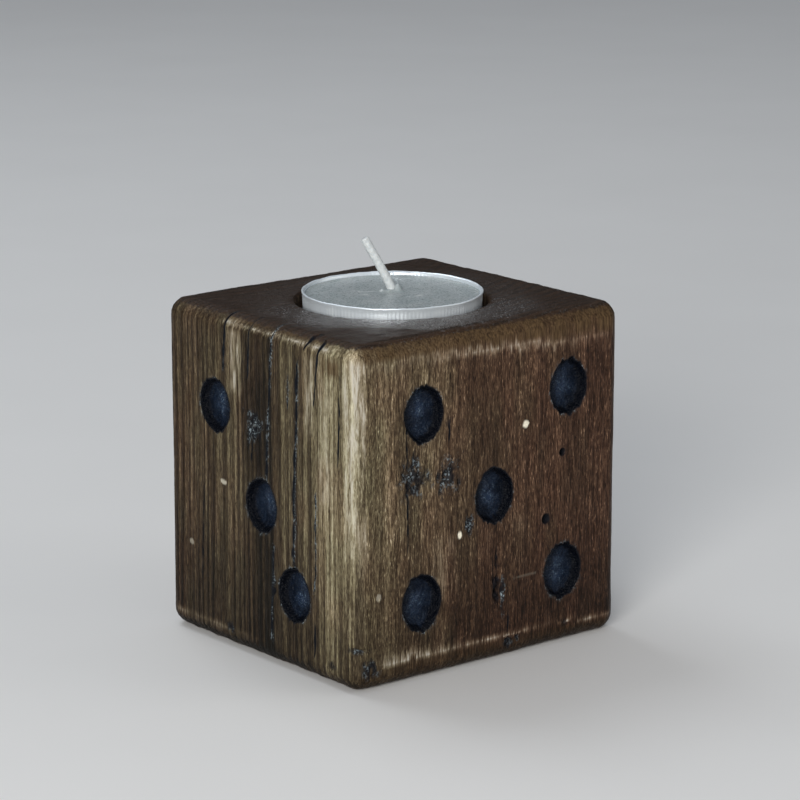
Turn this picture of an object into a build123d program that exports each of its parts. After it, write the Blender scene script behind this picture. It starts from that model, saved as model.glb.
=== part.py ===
"""Tealight holder shaped as a die, with its tealight.

A block of old timber, grain upright, with its edges rounded over by hand. Twenty shallow pips are drilled
into five of its faces and lined with black paint. The sixth face, on top, has a wide blind bore in place of
a single pip, and the tealight stands in it: a thin pressed cup, the wax, its wick and the wick's steel foot.

Frame: origin at the middle of the block's underside, +Z up, the face of five pips towards -Y and the face
of three towards -X. Opposite faces add up to seven.
"""

import os

from build123d import *

# --- driving dimensions, mm -----------------------------------------------------------------------------

block_width = 70.5  # along X
block_depth = 64.0  # along Y, a little narrower than it is wide
block_height = 70.5
upright_edge_radius = 4.0
top_edge_radius = 3.4
bottom_edge_radius = 3.6

bore_radius = 20.0  # a 40 mm flat-bottomed drill
bore_depth = 13.6
bore_lip_radius = 0.6
spur_mark_radius = 1.3  # left by the drill's centre point
spur_mark_depth = 0.9

pip_rim_radius = 5.1
pip_floor_radius = 4.75
pip_depth = 2.4
paint_thickness = 0.25

cup_height = 15.5
cup_rim_radius = 18.8
cup_floor_radius = 17.9
cup_corner_radius = 1.6
cup_thickness = 0.2
bead_radius = 0.35  # the edge rolled outwards round the cup's mouth

wax_below_rim = 1.1
wax_gap = 0.05  # the wax shrinks off the cup as it sets
wax_collar_radius = 1.9  # wax drawn up round the foot of the wick
wax_collar_top_radius = 1.05
wax_collar_height = 0.8

wick_radius = 0.92
wick_place = (2.5, 3.2)  # the wick stands a little off the middle
wick_rise = 1.0  # height above the wax at which it starts to lean
wick_lean = (-4.3, 3.45, 9.6)  # from that bend to the tip
wick_bend_radius = 2.5

foot_radius = 6.5
foot_thickness = 0.25
neck_radius = 1.4
neck_height = 3.5

# --- places worked out from them ------------------------------------------------------------------------

cup_base = block_height - bore_depth
cup_top = cup_base + cup_height
cup_wall_top_radius = cup_rim_radius - 2 * bead_radius + cup_thickness  # flush inside with the rolled edge
wax_base = cup_base + cup_thickness
wax_top = cup_top - wax_below_rim

mid_height = block_height / 2
half_width = block_width / 2
half_depth = block_depth / 2

# Each face of the die as a plane whose X runs to the right and whose Y runs up, seen from outside.
front = Plane(origin=(0, -half_depth, 0), x_dir=(1, 0, 0), z_dir=(0, -1, 0))
left = Plane(origin=(-half_width, 0, 0), x_dir=(0, -1, 0), z_dir=(-1, 0, 0))
back = Plane(origin=(0, half_depth, 0), x_dir=(-1, 0, 0), z_dir=(0, 1, 0))
right = Plane(origin=(half_width, 0, 0), x_dir=(0, 1, 0), z_dir=(1, 0, 0))
underside = Plane(origin=(0, 0, 0), x_dir=(1, 0, 0), z_dir=(0, 0, -1))

# The pips are drilled by eye, so the faces of three and five are slightly uneven.
pip_step = 17.5  # from a face's middle to its outer pips
pips = {
    "pips_two": (back, [(-pip_step, mid_height - pip_step), (pip_step, mid_height + pip_step)]),
    "pips_three": (left, [(-14.2, 50.7), (1.4, 32.7), (12.2, 16.3)]),
    "pips_four": (right, [(x, mid_height + z) for x in (-pip_step, pip_step) for z in (-pip_step, pip_step)]),
    "pips_five": (front, [(-17.8, 55.0), (20.2, 54.9), (0.6, 35.2), (-18.3, 16.3), (19.2, 15.9)]),
    "pips_six": (underside, [(x, y) for x in (-pip_step, pip_step) for y in (-pip_step, 0, pip_step)]),
}

standing = (Align.CENTER, Align.CENTER, Align.MIN)
sunk = (Align.CENTER, Align.CENTER, Align.MAX)  # into the face that it is placed on


# --- the block and the paint in its pips ----------------------------------------------------------------

with BuildPart() as wood_block:
    with BuildSketch():
        Rectangle(block_width, block_depth)
    extrude(amount=block_height)
    fillet(wood_block.edges().filter_by(Axis.Z), upright_edge_radius)
    fillet(wood_block.faces().sort_by(Axis.Z)[-1].edges(), top_edge_radius)
    fillet(wood_block.faces().sort_by(Axis.Z)[0].edges(), bottom_edge_radius)
    with Locations((0, 0, block_height)):
        Hole(bore_radius, bore_depth)
    fillet(wood_block.faces().sort_by(Axis.Z)[-1].edges().filter_by(GeomType.CIRCLE), bore_lip_radius)
    with Locations((0, 0, cup_base)):
        Cone(0.05, spur_mark_radius, spur_mark_depth, align=sunk, mode=Mode.SUBTRACT)
    for face, centres in pips.values():
        with Locations(face):
            with Locations(*centres):
                Cone(pip_floor_radius, pip_rim_radius, pip_depth, align=sunk, mode=Mode.SUBTRACT)


def paint_linings(face, centres):
    """The black paint in one face's pips: a thin dish in each recess."""
    with BuildPart() as linings:
        with Locations(face):
            with Locations(*centres):
                Cone(pip_floor_radius, pip_rim_radius, pip_depth, align=sunk)
                Cone(
                    pip_floor_radius - paint_thickness,
                    pip_rim_radius - paint_thickness,
                    pip_depth - paint_thickness,
                    align=sunk,
                    mode=Mode.SUBTRACT,
                )
    return linings


# --- the tealight ---------------------------------------------------------------------------------------

with BuildPart() as tealight_cup:
    with BuildSketch(Plane.XZ):
        with BuildLine():
            wall_foot = (cup_floor_radius, cup_base)
            wall_head = (cup_wall_top_radius, cup_top - bead_radius)
            FilletPolyline((0, cup_base), wall_foot, wall_head, radius=cup_corner_radius)
            offset(amount=-cup_thickness, side=Side.LEFT)
        make_face()
        with Locations((cup_rim_radius - bead_radius, cup_top - bead_radius)):
            Circle(bead_radius)
    revolve(axis=Axis.Z)

with BuildPart() as wick_sustainer:
    with Locations((*wick_place, wax_base)):
        Cylinder(foot_radius, foot_thickness, align=standing)
        Cylinder(neck_radius, neck_height, align=standing)
        foot_and_neck = wick_sustainer.part.solid()
        Cylinder(wick_radius, neck_height, align=standing, mode=Mode.SUBTRACT)

with BuildPart() as wick:
    with BuildLine():
        bend = Vector(*wick_place, wax_top + wick_rise)
        FilletPolyline((*wick_place, wax_base), bend, bend + Vector(*wick_lean), radius=wick_bend_radius)
    with BuildSketch(Plane.XY.offset(wax_base)):
        with Locations(wick_place):
            Circle(wick_radius)
    sweep()

with BuildPart() as wax:
    with BuildSketch(Plane.XZ):
        with BuildLine():
            draft = (cup_wall_top_radius - cup_floor_radius) / (cup_height - bead_radius)
            inner_foot = cup_floor_radius - cup_thickness - wax_gap
            inner_head = inner_foot + draft * (cup_height - cup_thickness - wax_below_rim)
            edge = FilletPolyline(
                (0, wax_base), (inner_foot, wax_base), (inner_head, wax_top), radius=cup_corner_radius
            )
            Polyline(edge @ 1, (0, wax_top), (0, wax_base))
        make_face()
    revolve(axis=Axis.Z)
    with Locations((*wick_place, wax_top)):
        Cone(wax_collar_radius, wax_collar_top_radius, wax_collar_height, align=standing)
    add(foot_and_neck, mode=Mode.SUBTRACT)
    add(wick.part, mode=Mode.SUBTRACT)


# --- one STEP for each piece ----------------------------------------------------------------------------

pieces = {
    "wood_block": wood_block,
    **{name: paint_linings(*drilling) for name, drilling in pips.items()},
    "tealight_cup": tealight_cup,
    "wax": wax,
    "wick": wick,
    "wick_sustainer": wick_sustainer,
}

os.makedirs("parts", exist_ok=True)
for name, piece in pieces.items():
    piece.part.label = name
    export_step(piece.part, f"parts/{name}.step")
    print(f"{name}: {len(piece.solids())} solids, {piece.part.volume:.1f} mm3")
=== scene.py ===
"""The looks of a tealight holder shaped as a die: weathered timber, black pips and a fluted tealight.

Meshes are worked out in millimetres on the frame's own axes, and become metres as each piece is made. The
block's skin is three flat sheets of triangles, for its sides unrolled into one strip, its top and its
underside, and the rings of its bore. Their points are pushed in or out along the surface's outward direction.
"""

from math import pi, tau
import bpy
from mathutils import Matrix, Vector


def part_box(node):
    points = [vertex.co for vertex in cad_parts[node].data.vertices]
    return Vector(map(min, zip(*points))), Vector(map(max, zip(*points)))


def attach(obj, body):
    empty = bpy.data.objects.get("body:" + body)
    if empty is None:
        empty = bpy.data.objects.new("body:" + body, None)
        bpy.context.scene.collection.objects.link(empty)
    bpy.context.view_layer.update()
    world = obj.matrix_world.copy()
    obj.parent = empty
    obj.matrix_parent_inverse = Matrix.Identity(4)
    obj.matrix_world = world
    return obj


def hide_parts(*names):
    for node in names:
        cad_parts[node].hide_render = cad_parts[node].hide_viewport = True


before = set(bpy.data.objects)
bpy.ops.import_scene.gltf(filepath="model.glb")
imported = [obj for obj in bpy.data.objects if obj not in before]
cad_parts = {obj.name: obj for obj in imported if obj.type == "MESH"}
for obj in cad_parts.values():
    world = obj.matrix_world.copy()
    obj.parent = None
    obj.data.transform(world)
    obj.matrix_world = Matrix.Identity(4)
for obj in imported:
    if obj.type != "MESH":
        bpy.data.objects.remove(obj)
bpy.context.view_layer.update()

from types import SimpleNamespace

import bmesh
import bpy
import numpy as np
from mathutils import Vector
from mathutils.geometry import delaunay_2d_cdt

MM = 0.001


def cad_box(node):
    """The lowest and highest corners of a CAD node, in millimetres."""
    low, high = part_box(node)
    return np.array(low) / MM, np.array(high) / MM


# --- sizes, mm, as the CAD has them ---

WIDTH, DEPTH, HEIGHT = cad_box("wood_block")[1] - cad_box("wood_block")[0]
UPRIGHT_RADIUS = 4.0
TOP_RADIUS = 3.4
BOTTOM_RADIUS = 3.6

BORE_RADIUS = 20.0
BORE_LIP = 0.6
BORE_FLOOR = cad_box("tealight_cup")[0][2]
SPUR_RADIUS = 1.3
SPUR_DEPTH = 0.9

PIP_RADIUS = 5.1
PIP_FLOOR_RADIUS = 4.75
PIP_DEPTH = 2.4

CUP_LOW, CUP_HIGH = cad_box("tealight_cup")
CUP_BASE, CUP_TOP = CUP_LOW[2], CUP_HIGH[2]
CUP_RIM_RADIUS = CUP_HIGH[0]
CUP_FLOOR_RADIUS = 17.9
CUP_CORNER = 1.6
CUP_SKIN = 0.2
CUP_BEAD = 0.35

WAX_TOP = CUP_TOP - 1.1
WAX_BASE = cad_box("wax")[0][2] + 0.18  # clear of the rings pressed into the cup's floor
WAX_RADIUS = cad_box("wax")[1][0]

WICK_LOW, WICK_HIGH = cad_box("wick")
WICK_RADIUS = 0.92
WICK_FOOT = np.array([WICK_HIGH[0] - WICK_RADIUS, WICK_LOW[1] + WICK_RADIUS])
WICK_LEAN = np.array([-4.3, 3.45, 9.6])

# --- sizes of the wood's grain and of the meshes, mm ---

PITH = (-14.0, 118.0)  # the tree's middle, well beyond the back
RING_PITCH = 2.1

# Points on the block's skin lie closer together across the grain than along it.
ACROSS_GRAIN = 0.44
ALONG_GRAIN = 1.1
END_GRAIN_STEP = 0.7
SPLIT_STEP = 0.5
GOUGE_STEP = 0.22
SPOT_STEP = 0.2

PIP_STEPS = 84  # points round each ring of a pip
PIP_CLEARING = 2.1  # from a pip's rim out to the nearest point that isn't its own
PIP_SLOPE = 1.7  # how far a pip's floor slopes down from the foot of its wall
PIP_SEED = 100
CLEANER_PIPS = 5  # the back's two and the left face's three, which come first, are drilled cleaner
HOLE_STEPS = 18
BORE_STEPS = 200
FLUTES = 144
FLUTE_STEPS = 4


# --- noise and curves ---


def hashed(cells, seed):
    """A repeatable random number from -1 to 1 for each row of whole numbers."""
    mixed = (cells.astype(np.int64) * (73856093, 19349663, 83492791)).sum(axis=-1) + seed * 2971215073
    mixed = ((mixed ^ (mixed >> 15)) * 2246822519) & 0xFFFFFFFF
    mixed = ((mixed ^ (mixed >> 13)) * 3266489917) & 0xFFFFFFFF
    return ((mixed ^ (mixed >> 16)) & 0xFFFF) / 32767.5 - 1


def noise(points, grain, seed):
    """Smooth noise from -1 to 1. grain is the size of its lumps along each axis."""
    scaled = points / np.array(grain)
    cell = np.floor(scaled)
    part = scaled - cell
    part = part * part * (3 - 2 * part)
    total = 0
    for corner in np.ndindex(2, 2, 2):
        weight = np.prod(np.where(corner, part, 1 - part), axis=-1)
        total = total + weight * hashed(cell + corner, seed)
    return total


def flat_noise(across, up, grain, seed):
    """Noise over a face, from two arrays of places on it."""
    return noise(np.stack([across, up, np.zeros_like(across)], axis=-1), (*grain, 1), seed)


def line_noise(place, grain, seed):
    return flat_noise(place, place * 0, (grain, 1), seed)


def ease(value, low, high):
    """0 below low, 1 above high, and smooth between them."""
    part = np.clip((value - low) / (high - low), 0, 1)
    return part * part * (3 - 2 * part)


def between(value, start, low, high, end):
    """1 from low to high, and smoothly down to 0 at start and end."""
    return ease(value, start, low) * (1 - ease(value, high, end))


def hump(offset, width, power=2):
    """1 where the offset is 0, and nearly 0 beyond a few widths; higher powers have flatter tops."""
    return np.exp(-((offset / width) ** power))


# --- the block's bare surface ---

HALF_X = WIDTH / 2 - UPRIGHT_RADIUS  # where the upright edges' curves have their middles
HALF_Y = DEPTH / 2 - UPRIGHT_RADIUS
CORNER = UPRIGHT_RADIUS * pi / 2

# Round the block from the middle of its back, past the left, front and right faces.
TURNS = np.cumsum([0, HALF_X, CORNER, 2 * HALF_Y, CORNER, 2 * HALF_X, CORNER, 2 * HALF_Y, CORNER, HALF_X])
TURN_X = HALF_X * np.array([0, -1, -1, -1, -1, 1, 1, 1, 1, 0])
TURN_Y = HALF_Y * np.array([1, 1, 1, -1, -1, -1, -1, 1, 1, 1])
TURN_ANGLE = np.radians([90, 90, 180, 180, 270, 270, 360, 360, 450, 450])
GIRTH = TURNS[-1]

# Up a side, from the underside round the bottom edge and over the top edge.
FOOT = BOTTOM_RADIUS * pi / 2
SHOULDER = FOOT + HEIGHT - BOTTOM_RADIUS - TOP_RADIUS
CREST = SHOULDER + TOP_RADIUS * pi / 2
RISES = [0, FOOT, SHOULDER, CREST]
RISE_TILT = np.radians([-90, 0, 0, 90])
RISE_CENTRE = [BOTTOM_RADIUS, BOTTOM_RADIUS, HEIGHT - TOP_RADIUS, HEIGHT - TOP_RADIUS]

# Each side face's middle along the strip, and the way along it in the block's own X and Y.
FACES = {
    "left": ((TURNS[2] + TURNS[3]) / 2, (0, -1)),
    "front": (GIRTH / 2, (1, 0)),
    "right": ((TURNS[6] + TURNS[7]) / 2, (0, 1)),
    "back": (0, (-1, 0)),
}


def on_strip(face, across, height):
    """A place on a side face, as seen from outside, to a place on the unrolled strip."""
    return (FACES[face][0] + across) % GIRTH, height + FOOT - BOTTOM_RADIUS


def side_surface(along, up):
    """The bare surface's points and outward directions at places on the strip."""
    angle = np.interp(along, TURNS, TURN_ANGLE)
    tilt = np.interp(up, RISES, RISE_TILT)
    radius = np.where(tilt < 0, BOTTOM_RADIUS, TOP_RADIUS)
    reach = UPRIGHT_RADIUS - radius * (1 - np.cos(tilt))
    x = np.interp(along, TURNS, TURN_X) + reach * np.cos(angle)
    y = np.interp(along, TURNS, TURN_Y) + reach * np.sin(angle)
    z = np.interp(up, RISES, RISE_CENTRE) + radius * np.sin(tilt)
    outward = [np.cos(angle) * np.cos(tilt), np.sin(angle) * np.cos(tilt), np.sin(tilt)]
    return np.stack([x, y, z], axis=-1), np.stack(outward, axis=-1)


def flat_surface(x, y, height, facing):
    points = np.stack([x, y, np.full_like(x, height)], axis=-1)
    return points, np.broadcast_to((0.0, 0.0, facing), points.shape)


def growth_rings(points):
    """How many growth rings lie between the pith and each point."""
    wander = 1.7 * noise(points, (17, 17, 120), 1) + 0.5 * noise(points, (5, 5, 45), 2)
    radius = np.hypot(points[..., 0] - PITH[0], points[..., 1] - PITH[1])
    good_years = 1.5 * line_noise(radius, 7, 8) + 0.5 * line_noise(radius, 2.6, 9)
    return (radius + wander + good_years) / RING_PITCH


def weathering(points, outward):
    """How far the wood has worn back from its bare surface: ridges along the grain and uneven edges."""
    side_grain = 1 - np.abs(outward[..., 2])
    ridges = 0.05 * hump(growth_rings(points) % 1 - 0.75, 0.16) * (0.25 + 0.75 * side_grain)
    fibres = 0.055 * noise(points, (0.95, 0.95, 13), 3) + 0.075 * noise(points, (2.4, 2.4, 34), 4)
    hand_work = 0.20 * noise(points, (19, 19, 42), 5)
    edge = ease(1 - np.abs(outward).max(axis=-1), 0.0, 0.25)
    knocks = 0.20 * noise(points, (9, 9, 14), 6) + 0.06 * noise(points, (1.5, 1.5, 3), 7)
    worn = fibres + hand_work + edge * (0.15 + knocks) - ridges
    least = points[..., 2] / np.minimum(outward[..., 2], -0.01)  # keeps it all above where the block stands
    return np.where(outward[..., 2] < 0, np.maximum(worn, least), worn)


# --- marks on the sides: (across, height, ...) in mm from the middle of a face, seen from outside ---


def on_faces(**marks):
    """Marks listed by face as one list, each with its face in front."""
    return [(face, *mark) for face, listed in marks.items() for mark in listed]


# Torn places where a knot or a nail has gone: width, height, depth, and how many pale fibres show in them.
GOUGES = on_faces(
    front=[
        (-20.3, 42.4, 8.0, 9.2, 0.6, 0.26), (-11.2, 41.2, 6.4, 8.6, 0.7, 0.32),
        (-12.0, 41.6, 1.9, 2.3, 1.5, 0.0), (-5.8, 29.9, 2.3, 4.2, 0.9, 0.25),
        (1.3, 15.6, 2.3, 8.2, 1.1, 0.0), (2.9, 13.2, 1.3, 8.6, 0.5, 1.0), (1.3, 22.0, 0.8, 4.6, 0.5, 0.0),
        (4.4, 3.1, 2.6, 2.8, 0.8, 0.1), (6.9, 3.9, 1.4, 2.0, 0.5, 0.2), (20.2, 4.3, 1.6, 1.4, 0.6, 0.0),
        (-31.4, 4.5, 4.2, 4.4, 0.5, 0.15),
    ],
    left=[
        (-1.2, 48.6, 5.8, 8.0, 0.5, 0.32), (-0.6, 50.2, 1.1, 2.6, 1.0, 0.0),
        (24.3, 4.6, 3.4, 2.6, 0.5, 0.1), (-9.4, 4.2, 2.4, 2.4, 0.4, 0.1), (32.0, 8.9, 4.4, 1.3, 0.6, 0.3),
    ],
    right=[(-9.0, 37.0, 4.6, 7.4, 0.8, 0.6), (24.0, 12.5, 2.4, 5.4, 0.7, 0.3)],
    back=[(9.0, 27.5, 5.2, 8.2, 0.8, 0.6), (-12.0, 58.0, 2.2, 5.0, 0.7, 0.4)],
)

# Splits along the grain: points from top to bottom, width, depth, and how many pale fibres bridge them.
SPLITS = on_faces(
    left=[
        ([(-10.0, 73.0), (-10.6, 66.0), (-11.4, 57.0)], 0.61, 1.5, 0.2),
        ([(-2.2, 72.5), (-2.6, 66.0), (-2.9, 56.0)], 0.44, 1.0, 0.1),
        ([(5.4, 73.0), (4.9, 63.0), (3.9, 52.0), (2.9, 36.0)], 0.50, 1.3, 0.9),
        ([(5.6, 27.0), (5.2, 18.0), (4.5, 4.0)], 0.46, 1.0, 0.9),
        ([(10.6, 64.0), (10.4, 52.0)], 0.30, 0.5, 1.0),
        ([(17.6, 73.2), (16.2, 68.6), (15.6, 66.5)], 0.90, 1.8, 0.0),
        ([(13.9, 66.8), (13.3, 52.0), (12.4, 38.0), (11.9, 18.0)], 0.66, 2.2, 0.9),
        ([(20.8, 70.5), (19.6, 63.0), (18.8, 54.5)], 0.66, 1.4, 0.1),
        ([(19.7, 41.0), (19.2, 28.0), (18.8, 13.5)], 0.44, 0.8, 1.0),
        ([(18.9, 13.5), (18.6, 3.0)], 0.66, 1.4, 0.0),
        ([(-1.3, 47.4), (-1.9, 39.8)], 0.50, 1.2, 0.0),
        ([(27.5, 67.0), (27.0, 56.0), (26.5, 43.0)], 0.40, 0.4, 0.0),
        ([(-18.3, 38.0), (-19.2, 10.0)], 0.39, 0.5, 0.0),
    ],
    front=[
        ([(-22.2, 57.0), (-22.0, 25.0)], 0.35, 0.5, 0.0),
        ([(-11.6, 58.0), (-11.4, 46.5)], 0.35, 0.5, 0.0),
        ([(4.6, 12.0), (4.3, 4.5)], 0.40, 0.7, 0.0),
    ],
    right=[
        ([(-20.0, 72.5), (-19.4, 55.0), (-20.2, 36.0)], 0.60, 1.6, 0.3),
        ([(3.2, 73.0), (2.6, 58.0), (3.6, 41.0)], 0.50, 1.3, 0.2),
        ([(6.0, 30.0), (5.4, 2.5)], 0.45, 1.0, 0.4),
    ],
    back=[
        ([(-6.0, 73.0), (-5.2, 52.0), (-6.2, 31.0)], 0.60, 1.5, 0.3),
        ([(24.5, 70.0), (24.0, 55.0)], 0.45, 0.9, 0.1),
        ([(-25.0, 30.0), (-24.4, 3.0)], 0.45, 0.9, 0.2),
    ],
)

# Patches that a brush has left pale: middle, half width, lowest, highest and strength.
BRUSHED = on_faces(
    left=[(-6.9, 2.1, 53.0, 68.5, 0.85), (17.6, 1.3, 49.0, 67.5, 0.80), (22.5, 2.4, 36.0, 64.0, 0.30)],
    front=[(-12.3, 3.2, 15.0, 30.0, 0.30), (-1.0, 1.4, 20.0, 29.0, 0.15), (7.0, 2.2, 25.0, 31.0, 0.18)],
    right=[(14.0, 2.4, 30.0, 58.0, 0.30)],
    back=[(-16.0, 2.8, 14.0, 36.0, 0.30)],
)

# Beetle holes: radius and depth.
BEETLE_HOLES = on_faces(
    front=[(18.6, 41.3, 0.75, 1.6), (14.4, 27.8, 0.95, 1.0)],
    right=[(8.6, 62.4, 0.80, 1.6), (-6.2, 9.8, 0.75, 1.4)],
    back=[(-24.2, 44.6, 0.85, 1.6), (3.8, 11.2, 0.80, 1.5)],
)

# Spots of old cream paint standing on the wood: width, height, how raised, and how strong.
PAINT_SPOTS = on_faces(
    front=[
        (8.8, 48.8, 1.5, 1.5, 0.22, 1.0), (-8.6, 28.6, 1.1, 1.5, 0.20, 1.0),
        (-29.3, 19.4, 1.3, 1.5, 0.05, 0.25), (9.8, 16.8, 7.6, 0.4, 0.0, 0.07),
    ],
    left=[(-11.4, 35.0, 2.3, 1.0, 0.12, 0.45), (-22.8, 19.7, 1.5, 1.2, 0.08, 0.25)],
    right=[(12.0, 47.0, 1.3, 1.5, 0.15, 0.8)],
    back=[(14.6, 41.0, 1.5, 1.2, 0.15, 0.8)],
)


# --- pips ---


def pip_rim(angle, seed):
    """A pip's torn rim: the drill lifts fibres out above and below it, and cuts clean at its sides."""
    ring = np.stack([np.cos(angle), np.sin(angle), np.zeros_like(angle)], axis=-1) * PIP_RADIUS
    roughness = 1.0 if seed < PIP_SEED + CLEANER_PIPS else 1.7
    ends = np.sin(angle) ** 4
    torn = np.clip(noise(ring, (0.5, 2.2, 1), seed) + 0.15, 0, 1) * ends
    pinched = 0.12 * roughness * np.cos(angle) ** 2
    uneven = 0.09 * (noise(ring, (2.6, 2.6, 1), seed + 40) + noise(ring, (0.42, 0.42, 1), seed + 80))
    return PIP_RADIUS - pinched + roughness * (0.26 * ends + 0.50 * torn) + uneven


def pip_floor(rim):
    """The foot of the wall below a rim; the torn places don't reach down to it."""
    return PIP_FLOOR_RADIUS - 0.1 + 0.2 * (rim - PIP_RADIUS)


def pip_hollow(away, angle, seed):
    """How deep a pip is at a distance from its middle."""
    rim = pip_rim(angle, seed)
    floor = pip_floor(rim)
    wall = np.clip((rim - away) / (rim - floor), 0, 1)
    crushed = 0.12 * hump(np.maximum(away - rim, 0), 0.35)
    sloped = 1 - np.clip((away - floor + PIP_SLOPE) / PIP_SLOPE, 0, 1) ** 2
    dome = 0.35 * np.clip(1 - (away / floor) ** 2, 0, 1)
    turned_rings = 0.05 * np.cos(away * 4.2) * (away < floor)
    return PIP_DEPTH * (0.72 * wall + 0.28 * sloped) + crushed * (1 - wall) - (dome + turned_rings)


def pip_rings(seed):
    """Rings of radii for a pip's points, from clear of its rim in to its floor."""
    angle = np.arange(PIP_STEPS) * tau / PIP_STEPS
    rim = pip_rim(angle, seed)
    floor = pip_floor(rim)
    wall = [rim + (floor - rim) * part for part in (0, 0.2, 0.5, 0.8, 1)]
    bottom = [floor * part for part in (0.94, 0.87, 0.79, 0.70, 0.60, 0.49, 0.37, 0.24, 0.12)]
    return angle, [rim + 1.0, rim + 0.45, rim + 0.15, *wall, *bottom]


def cad_pips(node):
    """The middle of each of a CAD node's pips, from its separate solids."""
    points = np.array([vertex.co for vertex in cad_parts[node].data.vertices]) / MM
    centres = []
    while len(points):
        near = np.linalg.norm(points - points[0], axis=1) < 3 * PIP_RADIUS
        centres.append((points[near].min(axis=0) + points[near].max(axis=0)) / 2)
        points = points[~near]
    return centres


def all_pips():
    """Each pip as (node, sheet, its two places on that sheet, seed)."""
    drilled = {"pips_two": "back", "pips_three": "left", "pips_four": "right", "pips_five": "front"}
    pips = []
    for node, face in drilled.items():
        for x, y, z in cad_pips(node):
            way = FACES[face][1]
            pips.append((node, "sides", on_strip(face, x * way[0] + y * way[1], z), PIP_SEED + len(pips)))
    for x, y, _ in cad_pips("pips_six"):
        pips.append(("pips_six", "underside", (x, -y), PIP_SEED + len(pips)))
    return pips


PIPS = all_pips()


def pips_on(sheet_name):
    """The middle and the seed of each pip on a sheet."""
    return [(centre, seed) for _, name, centre, seed in PIPS if name == sheet_name]


# --- flat sheets of points, and their triangles ---


def circle(steps):
    return np.arange(steps) * tau / steps


def around(centre, angle, rings):
    """Rings of points about a centre, as one array, and the edges that join each ring up."""
    points = [np.stack([centre[0] + r * np.cos(angle), centre[1] + r * np.sin(angle)], -1) for r in rings]
    steps = len(angle)
    starts = range(0, len(rings) * steps, steps)
    edges = [(start + i, start + (i + 1) % steps) for start in starts for i in range(steps)]
    return np.concatenate(points), edges


class Sheet:
    """Flat points and edges to be triangulated; each mark clears its own ground before it adds points."""

    def __init__(self, points):
        self.points = points
        self.kept = np.ones(len(points), bool)
        self.edges = []

    def clear(self, inside):
        self.kept &= ~inside

    def clear_circle(self, centre, radius):
        self.clear(np.hypot(*(self.points - centre).T) < radius)

    def add(self, points, edges=()):
        start = len(self.points)
        self.points = np.concatenate([self.points, points])
        self.kept = np.concatenate([self.kept, np.ones(len(points), bool)])
        self.edges += [(start + a, start + b) for a, b in edges]

    def triangles(self, squeeze):
        """The points and triangles. squeeze shortens the second direction while the triangles are chosen."""
        number = np.cumsum(self.kept) - 1
        edges = [(int(number[a]), int(number[b])) for a, b in self.edges if self.kept[a] and self.kept[b]]
        flat = self.points[self.kept] * (1, squeeze)
        placed, _, faces, *_ = delaunay_2d_cdt(flat.tolist(), edges, [], 0, 1e-5, False)
        return np.array([tuple(p) for p in placed]) / (1, squeeze), np.array(faces)


def brick_points(low, high, step):
    """Points in staggered rows over a rectangle, which keep off its border."""
    across = np.arange(low[0] + step[0] / 2, high[0] - step[0] / 4, step[0])
    up = np.arange(low[1] + step[1] / 2, high[1] - step[1] / 4, step[1])
    grid = np.stack(np.meshgrid(across, up), axis=-1)
    grid[1::2, :, 0] += step[0] / 2
    grid = grid.reshape(-1, 2)
    return grid[grid[:, 0] < high[0] - step[0] / 4]


def add_pips(sheet, sheet_name):
    for centre, seed in pips_on(sheet_name):
        sheet.clear_circle(centre, PIP_RADIUS + PIP_CLEARING)
        sheet.add(*around(centre, *pip_rings(seed)))
        sheet.add(np.array([centre]))


def add_patch(sheet, centre, size, step):
    """Close points over an ellipse."""
    half = np.array(size) / 2 + step
    patch = brick_points(-half, half, (step, step))
    patch = patch[np.hypot(*(patch / half).T) < 1]
    sheet.clear(np.hypot(*((sheet.points - centre) / half).T) < 1.08)
    sheet.add(patch + centre)


def split_line(split, up):
    """A split's middle and half its width at places up the strip; the width is 0 beyond its ends."""
    face, route, width, _, _ = split
    places = np.array([on_strip(face, *point) for point in route[::-1]])
    seed = len(route) + int(1000 * width + 10 * abs(route[0][0]))
    middle = np.interp(up, places[:, 1], places[:, 0])
    middle = middle + 0.16 * line_noise(up, 3.1, seed) + 0.07 * line_noise(up, 1.1, seed)
    low, high = places[0, 1], places[-1, 1]
    runs_over_the_top = high > SHOULDER
    taper = ease(up, low, low + 4) * (1 if runs_over_the_top else 1 - ease(up, high - 4, high))
    ragged = 0.75 + 0.45 * line_noise(up, 1.7, seed + 5)
    return middle, width / 2 * taper * ragged


def split_ends(split):
    """How far up the strip a split starts and ends."""
    face, route, *_ = split
    return on_strip(face, *route[-1])[1], on_strip(face, *route[0])[1]


def clear_of_pips(points):
    clear = np.ones(points.shape[:-1], bool)
    for centre, _ in pips_on("sides"):
        clear &= np.hypot(*np.moveaxis(points - centre, -1, 0)) > PIP_RADIUS + PIP_CLEARING
    return clear


def add_split(sheet, split):
    """Five close lines of points along a split: its middle, its edges, and the wood beside them."""
    low, high = split_ends(split)
    up = np.arange(low + 0.35, min(high, CREST - 1.2), SPLIT_STEP)
    middle, half = split_line(split, up)
    half = np.maximum(half, 0.04)
    wood = half + 0.12
    lines = np.stack([middle - wood, middle - half, middle, middle + half, middle + wood])
    across, along = sheet.points.T
    inside = (along > low) & (along < min(high, CREST - 0.9))
    beside = np.abs(across - split_line(split, along)[0])
    sheet.clear(inside & (beside < split[2] / 2 + 0.4))
    points = np.stack([lines, np.broadcast_to(up, lines.shape)], axis=-1)
    clear = clear_of_pips(points).reshape(-1)
    ends = [line * len(up) + i for line in range(len(lines)) for i in range(len(up) - 1)]
    start = len(sheet.points)
    sheet.add(points.reshape(-1, 2), [(i, i + 1) for i in ends if clear[i] and clear[i + 1]])
    sheet.kept[start:] &= clear


def add_hole(sheet, centre, radius):
    sheet.clear_circle(centre, radius + 0.6)
    sheet.add(*around(centre, circle(HOLE_STEPS), [radius * part for part in (1.35, 1.1, 1, 0.9, 0.55)]))


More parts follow.
